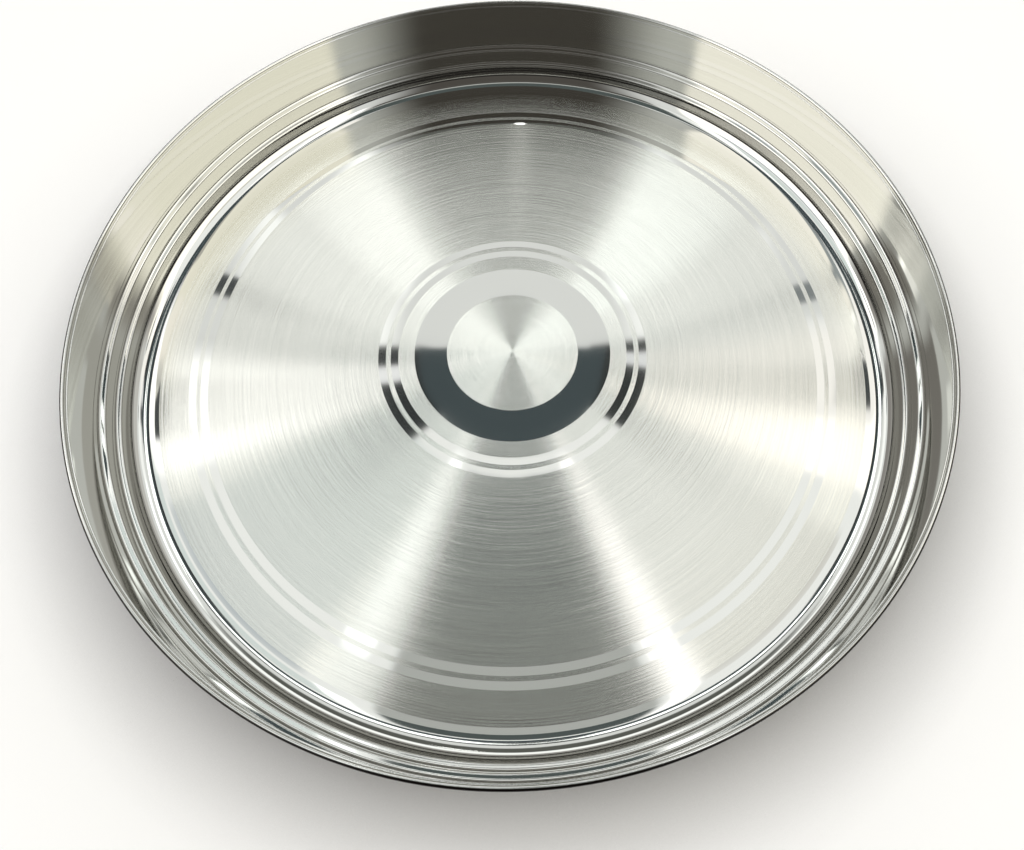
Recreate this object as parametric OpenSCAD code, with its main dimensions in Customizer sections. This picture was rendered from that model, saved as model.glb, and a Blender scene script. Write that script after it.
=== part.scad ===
// Thali plate: a round shallow plate pressed from one stainless sheet, with a flat ringed base,
// a stepped upright wall and a rim curled outwards round a wire.
// Millimetres, +Z up. The origin is the middle of the flat underside.

/* [Overall] */
// Outside diameter over the curled rim
plate_d = 300; // [240:1:360]
// Height from the underside to the top of the curled rim
plate_h = 36.5; // [30:0.5:60]
// Thickness of the sheet
sheet_t = 0.45; // [0.4:0.05:0.7]

/* [Rim] */
// Diameter of the wire inside the curl
wire_d = 0.5; // [0.4:0.05:1]
// Clearance all round the wire
wire_gap = 0.075; // [0.05:0.005:0.1]
// Angle that the sheet turns through round the wire
curl_turn = 280; // [240:5:285]
// Width of the small step under the curl
neck_w = 0.45; // [0.4:0.05:0.8]
// Drop from the middle of the curl to that step
neck_drop = 0.975; // [0.9:0.025:2]
// Bend radius at that step
neck_bend_r = 0.2; // [0.1:0.05:0.3]

/* [Wall] */
// How far the upper wall leans out from its foot to the small step
upper_wall_out = 0.9; // [0.3:0.1:3]
// Width of the upper ledge
upper_ledge_w = 2.3; // [1.6:0.1:4]
// Height of the upper ledge above the food side of the base
upper_ledge_h = 13.7; // [12:0.1:18]
// How far the lower wall leans out between the ledges
lower_wall_out = 0.85; // [0.3:0.05:2]
// Width of the lower ledge
lower_ledge_w = 1.82; // [1.5:0.02:3]
// Height of the lower ledge above the food side of the base
lower_ledge_h = 7.3; // [6:0.1:9]
// Rise of each ledge from its inner edge to its outer edge
ledge_rise = 0.25; // [0.1:0.05:0.5]
// Bend radius at the inner edge of each ledge
ledge_edge_r = 0.8; // [0.6:0.05:1]
// Bend radius at the outer edge of each ledge
ledge_foot_r = 1.1; // [0.6:0.05:1.4]

/* [Base corner] */
// How far the wall leans out from the base corner to the lower ledge
corner_wall_out = 1.48; // [0.8:0.02:2.5]
// Width of the gently rising stretch at the edge of the base
sweep_w = 4.85; // [4:0.05:7]
// Rise of that stretch
sweep_rise = 1.765; // [1:0.005:2.5]
// Bend radius where the base starts to rise
sweep_r = 15; // [8:0.5:20]
// Bend radius where the rising stretch turns up into the wall
corner_r = 4.5; // [3:0.1:6]

/* [Rings in the base] */
// Depth that the brushed zones are turned below the mirror rings
brush_cut = 0.03; // [0.01:0.01:0.08]
// Diameter of the brushed centre disc
centre_disc_d = 49.7; // [30:0.1:70]
// Width of the mirror ring round the centre disc
centre_mirror_w = 12.25; // [6:0.05:18]
// Width of the brushed band outside that mirror ring
centre_band_w = 6.15; // [3:0.05:10]
// Width of each of the two bright lines at the inner edge of the brushed field
inner_line_w = 2.85; // [1.5:0.05:4]
// Width of the fine brushed band between those lines
inner_fine_w = 1.85; // [1:0.05:3]
// Width of each of the two bright lines at the outer edge of the brushed field
outer_line_w = 2.7; // [1.5:0.05:4]
// Width of the fine brushed band between those lines
outer_fine_w = 1.6; // [1:0.05:3]
// Width of the brushed band between the outer lines and the edge of the base
edge_band_w = 10.7; // [6:0.1:14]
// Width of the mirror margin between that band and the start of the rise
edge_margin_w = 1.4; // [0.6:0.05:3]

/* [Hidden] */
// Sides of a full turn of the plate and of the wire's own section
plate_fn = 180;
wire_fn = 32;
// Largest turn between two neighbouring points of a bend, in degrees
bend_step = 10;
// Least bend radius on the outer face, where a tight bend folds the sheet on itself
least_bend_r = sheet_t / 10;

// The curl round the wire
cavity_r = wire_d / 2 + wire_gap;
curl_r = cavity_r + sheet_t;
curl_middle = [plate_d / 2 - curl_r, plate_h - curl_r];

// Radii of the corners on the food side, worked inwards from the curl
flank_r = curl_middle[0] - curl_r;
neck_r = flank_r - neck_w;
upper_foot_r = neck_r - upper_wall_out;
upper_edge_r = upper_foot_r - upper_ledge_w;
lower_foot_r = upper_edge_r - lower_wall_out;
lower_edge_r = lower_foot_r - lower_ledge_w;
corner_at_r = lower_edge_r - corner_wall_out;
sweep_at_r = corner_at_r - sweep_w;

// Heights of the same corners
base_z = sheet_t;
neck_z = curl_middle[1] - neck_drop;
upper_z = base_z + upper_ledge_h;
lower_z = base_z + lower_ledge_h;

// Corners of the food side from the middle of the base to the start of the curl, each with its bend radius
corners = [
    [0, base_z],
    [sweep_at_r, base_z],
    [corner_at_r, base_z + sweep_rise],
    [lower_edge_r, lower_z],
    [lower_foot_r, lower_z + ledge_rise],
    [upper_edge_r, upper_z],
    [upper_foot_r, upper_z + ledge_rise],
    [neck_r, neck_z],
    [flank_r, neck_z],
    [flank_r, curl_middle[1]]
];
bend_radii = [
    0, sweep_r, corner_r, ledge_edge_r, ledge_foot_r, ledge_edge_r, ledge_foot_r, neck_bend_r, neck_bend_r, 0
];
last = len(corners) - 1;

// Heading of a straight stretch, in degrees
function heading(a, b) = atan2(b[1] - a[1], b[0] - a[0]);

// Turn at corner i of a chain of points, positive to the left, and none at its ends
function turn_at(chain, i) =
    i == 0 || i == last ? 0 : heading(chain[i], chain[i + 1]) - heading(chain[i - 1], chain[i]);

// Corner i of the chain once the whole chain has moved sideways by d to the right
function moved_corner(i, d) =
    let (
        turn = turn_at(corners, i),
        way_in = i == 0 ? heading(corners[0], corners[1]) : heading(corners[i - 1], corners[i]),
        middle_way = way_in + turn / 2
    )
    corners[i] + d / cos(turn / 2) * [sin(middle_way), -cos(middle_way)];

// Bend radius at corner i of the face that lies d to the right
function moved_radius(i, d) =
    max(bend_radii[i] + (turn_at(corners, i) > 0 ? d : -d), least_bend_r);

// Straight length that bend i of a chain takes up on each side of its corner
function bend_run(chain, i, d) = moved_radius(i, d) * tan(abs(turn_at(chain, i)) / 2);

// Share of its full radius that bend i can have without running into the bends beside it
function room_share(chain, i, d) =
    let (
        own = bend_run(chain, i, d),
        before = norm(chain[i] - chain[i - 1]) / (own + bend_run(chain, i - 1, d)),
        after = norm(chain[i + 1] - chain[i]) / (own + bend_run(chain, i + 1, d))
    )
    min(1, before, after);

// Points of the round bend at corner i of a chain
function bend(chain, i, d) =
    let (
        way_in = heading(chain[i - 1], chain[i]),
        turn = turn_at(chain, i),
        side = sign(turn),
        r = moved_radius(i, d) * room_share(chain, i, d),
        start = chain[i] - r * tan(abs(turn) / 2) * [cos(way_in), sin(way_in)],
        centre = start + side * r * [-sin(way_in), cos(way_in)],
        steps = ceil(abs(turn) / bend_step)
    )
    [for (k = [0 : steps]) let (h = way_in + turn * k / steps) centre + side * r * [sin(h), -cos(h)]];

// One face of the wall from the edge of the base up to the curl, d to the outside of the food side
function wall_face(d) =
    let (chain = [for (i = [0 : last]) moved_corner(i, d)])
    [for (i = [1 : last - 1]) each bend(chain, i, d)];

// One face of the curl, from the wall over the top and round to its edge
function curl_face(r) =
    let (steps = ceil(curl_turn / bend_step))
    [for (k = [0 : steps]) let (a = 180 - curl_turn * k / steps) curl_middle + r * [cos(a), sin(a)]];

function reversed(points) = [for (i = [len(points) - 1 : -1 : 0]) points[i]];

// Radii of the flat base where the finish changes, from the middle outwards
disc_r = centre_disc_d / 2;
centre_band_r = disc_r + centre_mirror_w;
inner_line_r = centre_band_r + centre_band_w;
inner_fine_r = inner_line_r + inner_line_w;
inner_line_2_r = inner_fine_r + inner_fine_w;
field_r = inner_line_2_r + inner_line_w;
flat_r = wall_face(0)[0][0];
edge_band_out_r = flat_r - edge_margin_w;
edge_band_r = edge_band_out_r - edge_band_w;
outer_fine_out_r = edge_band_r - outer_line_w;
outer_fine_r = outer_fine_out_r - outer_fine_w;
field_out_r = outer_fine_r - outer_line_w;

// Inner and outer radius of each brushed zone outside the centre disc
brushed_zones = [
    [centre_band_r, inner_line_r],
    [inner_fine_r, inner_line_2_r],
    [field_r, field_out_r],
    [outer_fine_r, outer_fine_out_r],
    [edge_band_r, edge_band_out_r]
];
brushed_z = base_z - brush_cut;
ringed_base = concat(
    [[0, brushed_z], [disc_r, brushed_z], [disc_r, base_z]],
    [for (zone = brushed_zones) each [
        [zone[0], base_z],
        [zone[0], brushed_z],
        [zone[1], brushed_z],
        [zone[1], base_z]
    ]]
);

// The pressed sheet: base, stepped wall and curled rim in one piece
module pressed_dish() {
    color([0.78, 0.78, 0.76])
    rotate_extrude($fn = plate_fn)
    polygon(concat(
        ringed_base,
        wall_face(0),
        curl_face(curl_r),
        reversed(curl_face(cavity_r)),
        reversed(wall_face(sheet_t)),
        [[0, 0]]
    ));
}

// The wire hoop that the rim is curled round
module rim_wire() {
    color([0.6, 0.6, 0.6])
    rotate_extrude($fn = plate_fn)
    translate(curl_middle)
    circle(d = wire_d, $fn = wire_fn);
}

pressed_dish();
rim_wire();
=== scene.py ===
import math
import bpy
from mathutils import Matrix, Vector


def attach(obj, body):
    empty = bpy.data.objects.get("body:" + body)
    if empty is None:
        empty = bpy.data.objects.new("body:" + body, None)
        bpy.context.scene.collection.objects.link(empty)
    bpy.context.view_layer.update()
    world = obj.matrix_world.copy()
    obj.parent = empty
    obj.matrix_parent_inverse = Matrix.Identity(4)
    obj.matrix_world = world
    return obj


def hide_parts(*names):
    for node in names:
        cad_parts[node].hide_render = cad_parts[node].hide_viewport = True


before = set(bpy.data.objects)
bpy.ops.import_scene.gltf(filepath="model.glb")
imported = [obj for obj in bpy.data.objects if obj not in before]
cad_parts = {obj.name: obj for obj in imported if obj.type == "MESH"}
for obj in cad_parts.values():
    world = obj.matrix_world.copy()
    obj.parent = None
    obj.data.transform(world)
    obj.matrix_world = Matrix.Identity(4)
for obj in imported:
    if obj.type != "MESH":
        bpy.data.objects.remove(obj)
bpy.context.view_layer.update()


# Camera
# The view over the near rim, tilted towards the far side. Its place, its aim on the base and its roll come
# from circles fitted to the photograph's rings and rim.

MM = 0.001
CAMERA_AT = Vector((0.0, -154.32, 284.21)) * MM
CAMERA_AIM = Vector((6.458, -4.27, 0.45)) * MM
CAMERA_ROLL = 0.7018
CAMERA_LENS = 29.905
CAMERA_SHIFT = (-0.01757, -0.0636)
CAMERA_SENSOR = 36
CAMERA_NEAREST = 0.01

bpy.ops.object.select_all(action="DESELECT")
bpy.ops.object.camera_add(location=CAMERA_AT)
camera = bpy.context.object
camera.name = "photo_camera"
camera.rotation_mode = "QUATERNION"
looking = (CAMERA_AIM - CAMERA_AT).to_track_quat("-Z", "Y")
camera.rotation_quaternion = looking
camera.rotation_mode = "XYZ"
camera.rotation_euler.rotate_axis("Z", math.radians(-CAMERA_ROLL))
camera.data.lens = CAMERA_LENS
camera.data.sensor_width = CAMERA_SENSOR
camera.data.shift_x, camera.data.shift_y = CAMERA_SHIFT
camera.data.clip_start = CAMERA_NEAREST
bpy.context.scene.camera = camera


# Pressed dish
# One stainless sheet: flat ringed base, stepped upright wall and a rim rolled outwards into a curl. It is
# pressed from a disc, its base is brushed on a lathe with mirror rings left between, and its edge is rolled.

SHEET = 0.45
TURNS = 320

# Radii on the flat base where the finish changes, and the brushed ones among the zones between them
RING_RADII = [24.85, 37.1, 43.25, 46.1, 47.95, 50.8, 82.0, 114.055, 116.755, 118.355, 121.055, 131.755]
BRUSHED_ZONES = [(0, 24.85), (37.1, 43.25), (46.1, 47.95), (50.8, 114.055), (116.755, 118.355), (121.055, 131.755)]
BRUSH_CUT = 0.03

# Corners of the food side above the flat base: radius, height, bend radius and steps in the bend
CORNERS = [
    (135.8, 0.45, 15.0, 8),
    (140.65, 2.215, 4.5, 14),
    (142.13, 7.75, 0.8, 8),
    (143.95, 8.0, 1.1, 8),
    (144.8, 14.15, 0.8, 8),
    (147.1, 14.4, 1.1, 8),
    (148.0, 34.75, 0.2, 5),
    (148.45, 34.75, 0.2, 5),
]
CURL_MIDDLE = (149.225, 35.725)
CURL_R = 0.775
CURL_TURN = 280
CURL_STEPS = 30

# Points and heights that count as the same, in millimetres, how straight up a level face looks, and the widest
# angle in degrees that is shaded smooth
SAME_POINT = 0.0005
SAME_HEIGHT = 0.001
LOOKS_UP = 0.999
SMOOTH_ANGLE = 35

# Material slots of the dish, and the radii on the curl between which its mirror polish turns rougher and painted dark,
# a painted shade that outlines the plate
MIRROR_SLOT, BRUSHED_SLOT, BACK_SLOT = 0, 1, 2
PAINTED_OUTLINE_START, PAINTED_OUTLINE_FULL = 149.2, 149.4


def draw_to(x, z):
    """Extrude the end of the section in a straight line to a point of the XZ plane, in millimetres."""
    mesh = bpy.context.object.data
    bpy.context.object.update_from_editmode()
    end = [v.co.copy() for v in mesh.vertices if v.select][0]
    way = Vector((x * MM, 0, z * MM)) - end
    bpy.ops.mesh.extrude_region_move(TRANSFORM_OT_translate={"value": way})


def draw_bend(x, z, turn, steps):
    """Spin the end of the section round a bend centre by a turn in degrees, positive to the left."""
    bpy.ops.mesh.spin(steps=steps, angle=math.radians(turn), center=(x * MM, 0, z * MM), axis=(0, 1, 0))


bpy.ops.object.select_all(action="DESELECT")
bpy.ops.mesh.primitive_plane_add(size=1 * MM, location=(0, 0, SHEET * MM))
dish = bpy.context.object
dish.name = "turned_dish"
bpy.ops.object.transform_apply(location=True, rotation=True, scale=True)
bpy.ops.object.mode_set(mode="EDIT")
bpy.ops.mesh.select_mode(type="VERT")
bpy.ops.mesh.merge(type="CENTER")
for radius in RING_RADII:
    draw_to(radius, SHEET)
path = [(RING_RADII[-1], SHEET)] + [(c[0], c[1]) for c in CORNERS] + [(CURL_MIDDLE[0] - CURL_R, CURL_MIDDLE[1])]
for i, (x, z, bend_r, steps) in enumerate(CORNERS, start=1):
    into = Vector(path[i]) - Vector(path[i - 1])
    out = Vector(path[i + 1]) - Vector(path[i])
    turn = math.degrees(into.angle_signed(out)) * -1
    setback = bend_r * math.tan(math.radians(abs(turn)) / 2)
    start = Vector(path[i]) - into.normalized() * setback
    side = 1 if turn > 0 else -1
    centre = start + side * bend_r * Vector((-into.y, into.x)).normalized()
    draw_to(start.x, start.y)
    draw_bend(centre.x, centre.y, turn, steps)
draw_to(CURL_MIDDLE[0] - CURL_R, CURL_MIDDLE[1])
draw_bend(CURL_MIDDLE[0], CURL_MIDDLE[1], -CURL_TURN, CURL_STEPS)

# The section is turned once round the plate's axis, its seam and pole are closed and its faces look up
bpy.ops.mesh.select_all(action="SELECT")
bpy.ops.mesh.spin(steps=TURNS, angle=math.tau, center=(0, 0, 0), axis=(0, 0, 1))
bpy.ops.mesh.select_all(action="SELECT")
bpy.ops.mesh.remove_doubles(threshold=SAME_POINT * MM)
bpy.ops.mesh.normals_make_consistent(inside=False)
dish.update_from_editmode()
middle_face = min(dish.data.polygons, key=lambda f: f.center.xy.length)
if middle_face.normal.z < 0:
    bpy.ops.mesh.flip_normals()
bpy.ops.object.mode_set(mode="OBJECT")

# The sheet gets its thickness on the underside, with slots for the mirror, brushed and back finishes
for _ in (MIRROR_SLOT, BRUSHED_SLOT, BACK_SLOT):
    dish.data.materials.append(None)
solidify = dish.modifiers.new("sheet_thickness", "SOLIDIFY")
solidify.thickness = SHEET * MM
solidify.offset = -1
solidify.use_even_offset = True
solidify.use_quality_normals = True
solidify.material_offset = BACK_SLOT
bpy.ops.object.modifier_apply(modifier=solidify.name)


def is_level(face, height):
    """True for a level face that looks up at a height in millimetres."""
    return face.normal.z > LOOKS_UP and abs(face.center.z / MM - height) < SAME_HEIGHT


def is_brushed(face):
    """True for a face of the flat food side that lies in one of the brushed zones."""
    reach = face.center.xy.length / MM
    return is_level(face, SHEET) and any(inner < reach < outer for inner, outer in BRUSHED_ZONES)


# The brushing takes a little metal off its zones
bpy.ops.object.mode_set(mode="EDIT")
bpy.ops.mesh.select_mode(type="FACE")
bpy.ops.mesh.select_all(action="DESELECT")
bpy.ops.object.mode_set(mode="OBJECT")
for face in dish.data.polygons:
    face.select = is_brushed(face)
bpy.ops.object.mode_set(mode="EDIT")
bpy.ops.mesh.extrude_region_move(TRANSFORM_OT_translate={"value": (0, 0, -BRUSH_CUT * MM)})
bpy.ops.object.mode_set(mode="OBJECT")
bpy.ops.object.shade_smooth_by_angle(angle=math.radians(SMOOTH_ANGLE))
weighting = dish.modifiers.new("flats_stay_flat", "WEIGHTED_NORMAL")
weighting.keep_sharp = True
bpy.ops.object.modifier_apply(modifier=weighting.name)


def linear(code):
    """An sRGB hex colour as the linear colour that a shader takes."""
    parts = [int(code[i:i + 2], 16) / 255 for i in (1, 3, 5)]
    return [c / 12.92 if c <= 0.04045 else ((c + 0.055) / 1.055) ** 2.4 for c in parts] + [1.0]


def add_node(tree, kind, settings=None, links=None):
    """Add a shader node, give it its settings and set or link its inputs, and return it."""
    node = tree.nodes.new(kind)
    for name, value in (settings or {}).items():
        setattr(node, name, value)
    for socket, value in (links or {}).items():
        if isinstance(value, bpy.types.NodeSocket):
            tree.links.new(value, node.inputs[socket])
        else:
            node.inputs[socket].default_value = value
    return node


def new_material(name):
    """An empty node material, with its tree and output node."""
    material = bpy.data.materials.new(name)
    material.use_nodes = True
    material.node_tree.nodes.clear()
    return material, material.node_tree, add_node(material.node_tree, "ShaderNodeOutputMaterial")


def polar(tree):
    """Distance from the plate's axis in millimetres, and the unit direction away from the axis."""
    place = add_node(tree, "ShaderNodeTexCoord").outputs["Object"]
    flat = add_node(tree, "ShaderNodeVectorMath", {"operation": "MULTIPLY"}, {0: place, 1: (1000, 1000, 0)})
    reach = add_node(tree, "ShaderNodeVectorMath", {"operation": "LENGTH"}, {0: flat.outputs[0]})
    out = add_node(tree, "ShaderNodeVectorMath", {"operation": "NORMALIZE"}, {0: flat.outputs[0]})
    return reach.outputs["Value"], out.outputs[0]


def turned_lines(tree, reach, out, spacing, arc, seed):
    """Broken concentric lines: spacing in millimetres, and how many times they change round the plate."""
    round_part = add_node(tree, "ShaderNodeVectorMath", {"operation": "SCALE"}, {0: out, "Scale": arc})
    height = add_node(tree, "ShaderNodeMath", {"operation": "DIVIDE"}, {0: reach, 1: spacing})
    lift = add_node(tree, "ShaderNodeCombineXYZ", None, {"Z": height.outputs[0]})
    place = add_node(tree, "ShaderNodeVectorMath", {"operation": "ADD"}, {0: round_part.outputs[0], 1: lift.outputs[0]})
    moved = add_node(tree, "ShaderNodeVectorMath", {"operation": "ADD"}, {0: place.outputs[0], 1: (seed, seed, seed)})
    noise = add_node(tree, "ShaderNodeTexNoise", None, {
        "Vector": moved.outputs[0], "Scale": 1.0, "Detail": 2.0, "Roughness": 0.6})
    return noise.outputs["Fac"]


# Stainless steel brushed on a lathe: a dense set of fine concentric lines, so light spreads in radial fans.
# Real lines stand about 0.1 mm apart, too fine to show, so they are drawn 0.6 mm apart.
brushed, tree, output = new_material("lathe_brushed_stainless_steel")
reach, out = polar(tree)
lines = turned_lines(tree, reach, out, spacing=0.6, arc=1.3, seed=3.0)
depth = add_node(tree, "ShaderNodeMapRange", None, {
    "Value": reach, "From Min": 0.0, "From Max": 60.0, "To Min": 0.25, "To Max": 1.0})
cut = add_node(tree, "ShaderNodeMath", {"operation": "MULTIPLY"}, {0: lines, 1: depth.outputs[0]})
bump = add_node(tree, "ShaderNodeBump", None, {"Strength": 1.0, "Distance": 0.042 * MM, "Height": cut.outputs[0]})
bright = add_node(tree, "ShaderNodeMapRange", None, {"Value": lines, "From Min": 0.3, "From Max": 0.7}).outputs[0]
rough = add_node(tree, "ShaderNodeMapRange", None, {"Value": bright, "To Min": 0.14, "To Max": 0.16})
colour = add_node(tree, "ShaderNodeMix", {"data_type": "RGBA"}, {0: bright, 6: linear("#C9C9C2"), 7: linear("#D1D1CA")})
shade = add_node(tree, "ShaderNodeBsdfPrincipled", None, {
    "Base Color": colour.outputs[2], "Metallic": 1.0, "Roughness": rough.outputs[0], "Anisotropic": 1.0,
    "Normal": bump.outputs[0], "Tangent": out})
tree.links.new(shade.outputs[0], output.inputs["Surface"])

# The same steel, mirror polished: clear reflections that waver a little, in waves of about 22 mm, as on a thin
# pressed sheet. The outer half of the curl is made rougher and painted dark: painted shade that draws a dark
# outline round the plate.
mirror, tree, output = new_material("mirror_polished_stainless_steel")
reach, out = polar(tree)
painted_outline_and_burnish = add_node(tree, "ShaderNodeMapRange", None, {
    "Value": reach, "From Min": PAINTED_OUTLINE_START, "From Max": PAINTED_OUTLINE_FULL}).outputs[0]
place = add_node(tree, "ShaderNodeTexCoord").outputs["Object"]
waver = add_node(tree, "ShaderNodeTexNoise", None, {"Vector": place, "Scale": 45.0, "Detail": 1.0})
bump = add_node(tree, "ShaderNodeBump", None, {"Strength": 1.0, "Distance": 0.03 * MM, "Height": waver.outputs["Fac"]})
# The dark colour of the curl's outer half is painted shade, which draws the dark outline round the rim
colour = add_node(tree, "ShaderNodeMix", {"data_type": "RGBA"}, {
    0: painted_outline_and_burnish, 6: linear("#CDCDC8"), 7: linear("#2C2A28")})
rough = add_node(tree, "ShaderNodeMapRange", None, {"Value": painted_outline_and_burnish, "To Min": 0.04, "To Max": 0.16})
shade = add_node(tree, "ShaderNodeBsdfPrincipled", None, {
    "Base Color": colour.outputs[2], "Metallic": 1.0, "Roughness": rough.outputs[0], "Normal": bump.outputs[0]})
tree.links.new(shade.outputs[0], output.inputs["Surface"])

# The back of the sheet, as it left the rolling mill: a duller polish with faint turned marks. They are finer in
# life, and stand 1.4 mm apart here.
back, tree, output = new_material("mill_finished_stainless_back")
reach, out = polar(tree)
lines = turned_lines(tree, reach, out, spacing=1.4, arc=2.0, seed=11.0)
bump = add_node(tree, "ShaderNodeBump", None, {"Strength": 1.0, "Distance": 0.003 * MM, "Height": lines})
rough = add_node(tree, "ShaderNodeMapRange", None, {
    "Value": lines, "From Min": 0.3, "From Max": 0.7, "To Min": 0.16, "To Max": 0.24})
shade = add_node(tree, "ShaderNodeBsdfPrincipled", None, {
    "Base Color": linear("#C9C8C5"), "Metallic": 1.0, "Roughness": rough.outputs[0], "Normal": bump.outputs[0]})
tree.links.new(shade.outputs[0], output.inputs["Surface"])

for slot, material in enumerate((mirror, brushed, back)):
    dish.data.materials[slot] = material
for face in dish.data.polygons:
    if is_level(face, SHEET - BRUSH_CUT):
        face.material_index = BRUSHED_SLOT
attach(dish, "root")
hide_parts("pressed_dish")


# Rim wire
# A hoop of drawn stainless wire that stiffens the rim. The sheet's edge is rolled round it, so it is held by
# the curl and hidden in it.

# Stainless wire as it came from the die: a soft grey gleam with a grain of about 1 mm, coarser than the real one.
drawn, tree, output = new_material("drawn_stainless_wire")
place = add_node(tree, "ShaderNodeTexCoord").outputs["Object"]
grain = add_node(tree, "ShaderNodeTexNoise", None, {"Vector": place, "Scale": 900.0, "Detail": 3.0})
rough = add_node(tree, "ShaderNodeMapRange", None, {"Value": grain.outputs["Fac"], "To Min": 0.28, "To Max": 0.42})
bump = add_node(tree, "ShaderNodeBump", None, {"Strength": 0.5, "Distance": 0.01 * MM, "Height": grain.outputs["Fac"]})
shade = add_node(tree, "ShaderNodeBsdfPrincipled", None, {
    "Base Color": linear("#A3A3A1"), "Metallic": 1.0, "Roughness": rough.outputs[0], "Normal": bump.outputs[0]})
tree.links.new(shade.outputs[0], output.inputs["Surface"])
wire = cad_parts["rim_wire"]
wire.data.materials.clear()
wire.data.materials.append(drawn)


# Floor
# A plain white table. The camera and the steel see it as white, less the plate's own shadow, and painted
# contact shade darkens its colour a little close to the plate.

FLOOR_SIZE = 12
PAINTED_SHADE_REACH = 0.045

bpy.ops.object.select_all(action="DESELECT")
bpy.ops.mesh.primitive_plane_add(size=FLOOR_SIZE, location=(0, 0, 0))
floor = bpy.context.object
floor.name = "white_table"
white, tree, output = new_material("white_table_top")
rays = add_node(tree, "ShaderNodeLightPath").outputs
seen = add_node(tree, "ShaderNodeMath", {"operation": "MAXIMUM"}, {0: rays["Is Camera Ray"], 1: rays["Is Glossy Ray"]})
seen = add_node(tree, "ShaderNodeMath", {"operation": "MAXIMUM"}, {0: seen.outputs[0], 1: rays["Is Transmission Ray"]})
colour = add_node(tree, "ShaderNodeMix", {"data_type": "RGBA"}, {
    0: seen.outputs[0], 6: linear("#F4F4F4"), 7: linear("#FFFFFF")})
# Painted contact shade: ambient occlusion darkens the floor's colour close to the plate
painted_contact_shade = add_node(tree, "ShaderNodeAmbientOcclusion", {"samples": 8}, {
    "Color": colour.outputs[2], "Distance": PAINTED_SHADE_REACH})
shade = add_node(tree, "ShaderNodeBsdfDiffuse", None, {"Color": painted_contact_shade.outputs["Color"]})
tree.links.new(shade.outputs[0], output.inputs["Surface"])
floor.data.materials.append(white)


# Light
# A white studio: soft cards in the sky as walls, panels, lamps and dark card, and one tiny lamp on the far side.
# A card is placed by heading and reach from the point of the sky that the middle of the plate mirrors, so its
# edges run along the fans of the brushed base.

MIRRORED_POINT_Y = 0.478
CARDS_END_AT, CARDS_END_SOFT = 0.34, 0.12
LAMP_AT = Vector((43.1, 1221.0, 1158.0)) * MM
LAMP_SIZE = 0.025
LAMP_POWER = 0.015

world = bpy.data.worlds.new("white_studio")
bpy.context.scene.world = world
world.use_nodes = True
tree = world.node_tree
tree.nodes.clear()
way = add_node(tree, "ShaderNodeTexCoord").outputs["Generated"]
from_point = add_node(tree, "ShaderNodeVectorMath", {"operation": "SUBTRACT"}, {0: way, 1: (0, MIRRORED_POINT_Y, 0)})
from_point = add_node(tree, "ShaderNodeVectorMath", {"operation": "MULTIPLY"}, {0: from_point.outputs[0], 1: (1, 1, 0)})
split = add_node(tree, "ShaderNodeSeparateXYZ", None, {0: from_point.outputs[0]})
turned = add_node(tree, "ShaderNodeMath", {"operation": "ARCTAN2"}, {0: split.outputs["Y"], 1: split.outputs["X"]})
heading = add_node(tree, "ShaderNodeMath", {"operation": "DEGREES"}, {0: turned.outputs[0]}).outputs[0]
reach = add_node(tree, "ShaderNodeVectorMath", {"operation": "LENGTH"}, {0: from_point.outputs[0]}).outputs["Value"]


def soft_step(value, edge, soft, rising=True):
    """0 below an edge and 1 above it, or the other way, with a soft change between."""
    ends = {"To Min": 0.0, "To Max": 1.0} if rising else {"To Min": 1.0, "To Max": 0.0}
    return add_node(tree, "ShaderNodeMapRange", {"interpolation_type": "SMOOTHSTEP"}, {
        "Value": value, "From Min": edge - soft / 2, "From Max": edge + soft / 2, **ends}).outputs[0]


def card(under, headings, heading_soft, reaches, reach_soft, colour, level):
    """Lay a soft-edged card over the light under it: 1 is a white card, more is a lamp behind white cloth."""
    middle, half = sum(headings) / 2, (headings[1] - headings[0]) / 2
    off = add_node(tree, "ShaderNodeMath", {"operation": "SUBTRACT"}, {0: heading, 1: middle})
    off = add_node(tree, "ShaderNodeMath", {"operation": "WRAP"}, {0: off.outputs[0], 1: 180.0, 2: -180.0})
    off = add_node(tree, "ShaderNodeMath", {"operation": "ABSOLUTE"}, {0: off.outputs[0]}).outputs[0]
    share = soft_step(off, half, heading_soft, rising=False)
    for edge in (soft_step(reach, reaches[0], reach_soft), soft_step(reach, reaches[1], reach_soft, rising=False)):
        share = add_node(tree, "ShaderNodeMath", {"operation": "MULTIPLY"}, {0: share, 1: edge}).outputs[0]
    tint = [part * level for part in linear(colour)[:3]] + [1.0]
    return add_node(tree, "ShaderNodeMix", {"data_type": "RGBA"}, {0: share, 6: under, 7: tint}).outputs[2]


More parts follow.
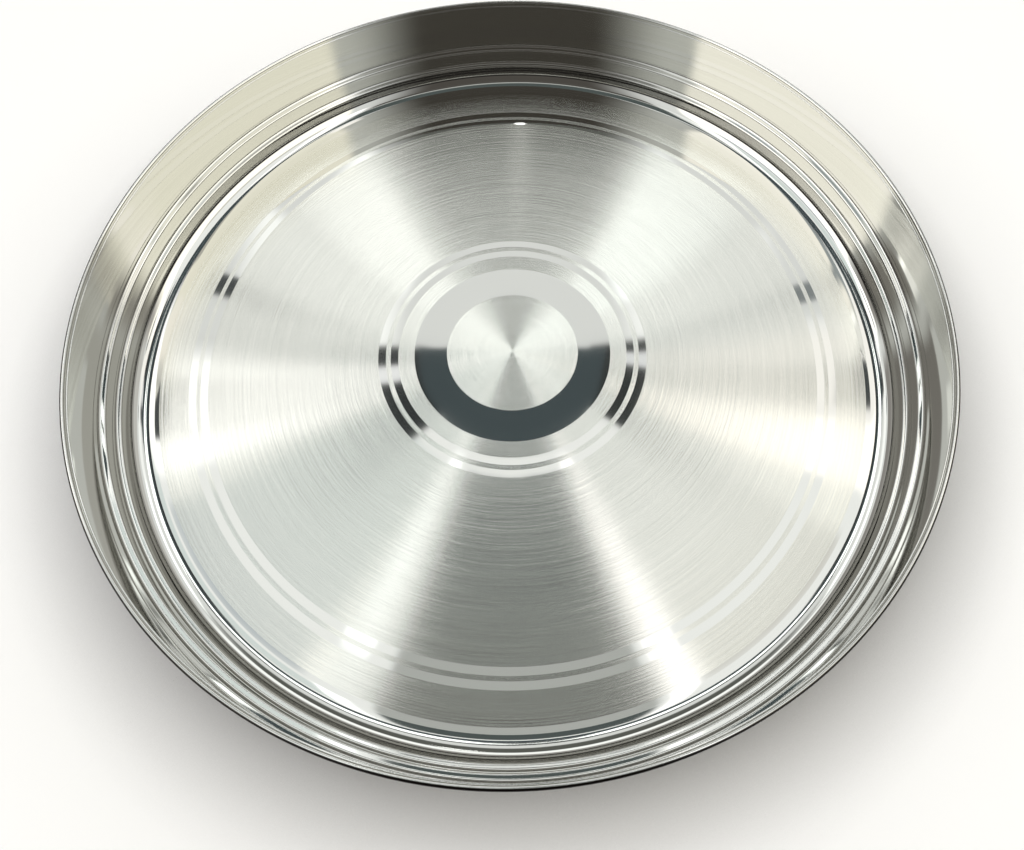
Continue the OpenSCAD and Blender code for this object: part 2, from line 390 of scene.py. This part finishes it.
# Each card: headings and their softness in degrees, reaches and their softness, colour, level
CARDS = [
    ((-180, 180), 2, (-1, 3), 0.1, "#FDFFFF", 1.10),  # pale walls all round
    ((50.5, 122.5), 20, (0.135, 0.32), 0.03, "#FBFFF6", 0.16),  # dark gap between the far lamps
    ((46, 132), 8, (0.34, 0.52), 0.04, "#FDFFFF", 1.60),  # pale wall over that gap
    ((16, 45), 8, (0.138, 0.24), 0.03, "#FAFFFF", 2.45),  # lamp beyond the far rim, right
    ((129.5, 155), 8, (0.138, 0.24), 0.03, "#FDFFFF", 2.45),  # lamp beyond the far rim, left
    ((154, 180), 4, (0.138, 0.30), 0.03, "#FDFFFF", 1.60),  # lit wall below the left lamp
    ((-14, 16), 4, (0.138, 0.30), 0.03, "#FDFFFF", 1.50),  # lit wall below the right lamp
    ((-6, 42), 6, (0.46, 1.3), 0.04, "#FFFEFA", 0.80),  # wall high on the right
    ((120, 178), 6, (0.45, 1.3), 0.04, "#FFFAF6", 0.38),  # wall high on the left
    ((182, 358), 3, (0.11, 0.46), 0.01, "#FDFFFF", 1.35),  # camera side
    ((200, 236), 3, (0.15, 0.32), 0.03, "#F5FFFF", 1.10),  # camera side, dimmer on the left
    ((236, 241.5), 1.5, (0.13, 0.365), 0.03, "#FBFEFF", 2.40),  # light strip at the left of the dark card
    ((197.5, 238), 2, (0.46, 1.6), 0.06, "#FFFCF8", 2.25),  # broad panel, left
    ((183, 196), 8, (0.62, 1.6), 0.20, "#FFFAF4", 0.42),  # dim gap beyond the left panel
    ((204, 234), 3, (0.4, 0.58), 0.04, "#EDF7FF", 0.81),  # dimmer inner part of the left panel
    ((184, 200), 3, (0.155, 0.62), 0.03, "#FFFFFF", 1.95),  # bright strip at the left
    ((189, 200), 2, (0.44, 0.62), 0.03, "#FFFFFF", 3.00),  # brighter outer end of that strip
    ((186, 195.5), 1.5, (0.37, 0.45), 0.02, "#F1FBFF", 0.10),  # narrow dark card across that strip
    ((168.5, 173), 1, (0.295, 0.345), 0.005, "#F1FBFF", 0.10),  # small dark card, left
    ((1, 4.5), 1, (0.295, 0.345), 0.005, "#F1FBFF", 0.35),  # small dim card, right
    ((296, 350), 2, (0.46, 1.6), 0.06, "#FFFCF2", 1.95),  # broad panel, right
    ((298, 326), 3, (0.4, 0.6), 0.04, "#FFFDF7", 0.95),  # dimmer inner part of the right panel
    ((292, 297), 1.5, (0.13, 0.8), 0.03, "#FFFCFD", 2.40),  # light strip at the right of the dark card
    ((333, 342), 2, (0.155, 0.8), 0.03, "#FFFBF6", 2.10),  # bright strip at the right
    ((344, 353), 8, (0.60, 1.6), 0.20, "#FFFAF4", 0.60),  # dim gap beyond the right panel
    ((342, 356), 4, (0.155, 0.45), 0.03, "#FFFDFA", 1.50),  # glow beside that strip
    ((344, 351), 1.5, (0.37, 0.45), 0.02, "#F1FBFF", 0.10),  # narrow dark card across that glow
    ((178, 217), 3, (0.09, 0.165), 0.005, "#F1FBFF", 0.06),  # dark bar, left end
    ((323, 360), 3, (0.09, 0.165), 0.005, "#F6FFFF", 0.06),  # dark bar, right end
    ((177, 359), 2, (0.052, 0.1095), 0.005, "#DAF5FF", 0.12),  # dark bar over the camera
    ((186, 192), 2, (0.123, 0.165), 0.004, "#FBFCFF", 1.41),  # light gap in the bar, left
    ((349, 355), 2, (0.123, 0.165), 0.004, "#FAFCFF", 1.24),  # light gap in the bar, right
    ((0, 360), 1, (-0.1, 0.05), 0.006, "#FAFFFF", 0.12),  # dim sky that the centre disc mirrors
    ((116, 247), 6, (-0.1, 0.05), 0.006, "#FAFFFF", 2.80),  # its bright left side
    ((292, 414), 6, (-0.1, 0.05), 0.006, "#FAFFFF", 2.80),  # its bright right side
    ((246, 290), 2, (0.139, 0.325), 0.01, "#EBFFFF", 0.14),  # dark card on the camera side, near part
    ((246, 290), 2, (0.325, 0.42), 0.02, "#FBFFFC", 0.65),  # paler gap in it
    ((246, 290), 2, (0.42, 0.62), 0.02, "#FFF6EC", 0.11),  # dark card on the camera side, middle part
    ((248, 288), 14, (0.62, 1.6), 0.02, "#FFF6EC", 0.11),  # dark card on the camera side, far part
]
light = linear("#FFFFFF")
for headings, heading_soft, reaches, reach_soft, colour, level in CARDS:
    light = card(light, headings, heading_soft, reaches, reach_soft, colour, level)

# Below the cards the room is dark behind the camera and pale beyond the plate, and the camera sees white
low = add_node(tree, "ShaderNodeSeparateXYZ", None, {0: way}).outputs["Z"]
skirting = card(linear("#2E2C2B"), (-12, 184), 16, (-1, 3), 0.1, "#B4B2AE", 1.0)
room = add_node(tree, "ShaderNodeMix", {"data_type": "RGBA"}, {
    0: soft_step(low, CARDS_END_AT, CARDS_END_SOFT, rising=False), 6: light, 7: skirting})
rays = add_node(tree, "ShaderNodeLightPath").outputs
backdrop = add_node(tree, "ShaderNodeMix", {"data_type": "RGBA"}, {
    0: rays["Is Camera Ray"], 6: room.outputs[2], 7: linear("#FFFFFF")})
sky = add_node(tree, "ShaderNodeBackground", None, {"Color": backdrop.outputs[2], "Strength": 1.0})
add_node(tree, "ShaderNodeOutputWorld", None, {"Surface": sky.outputs[0]})

bpy.ops.object.light_add(type="AREA", location=LAMP_AT)
lamp = bpy.context.object
lamp.name = "far_lamp"
lamp.rotation_euler = LAMP_AT.to_track_quat("Z", "Y").to_euler()
lamp.data.shape = "DISK"
lamp.data.size = LAMP_SIZE
lamp.data.energy = LAMP_POWER

bpy.context.scene.view_settings.view_transform = "Standard"
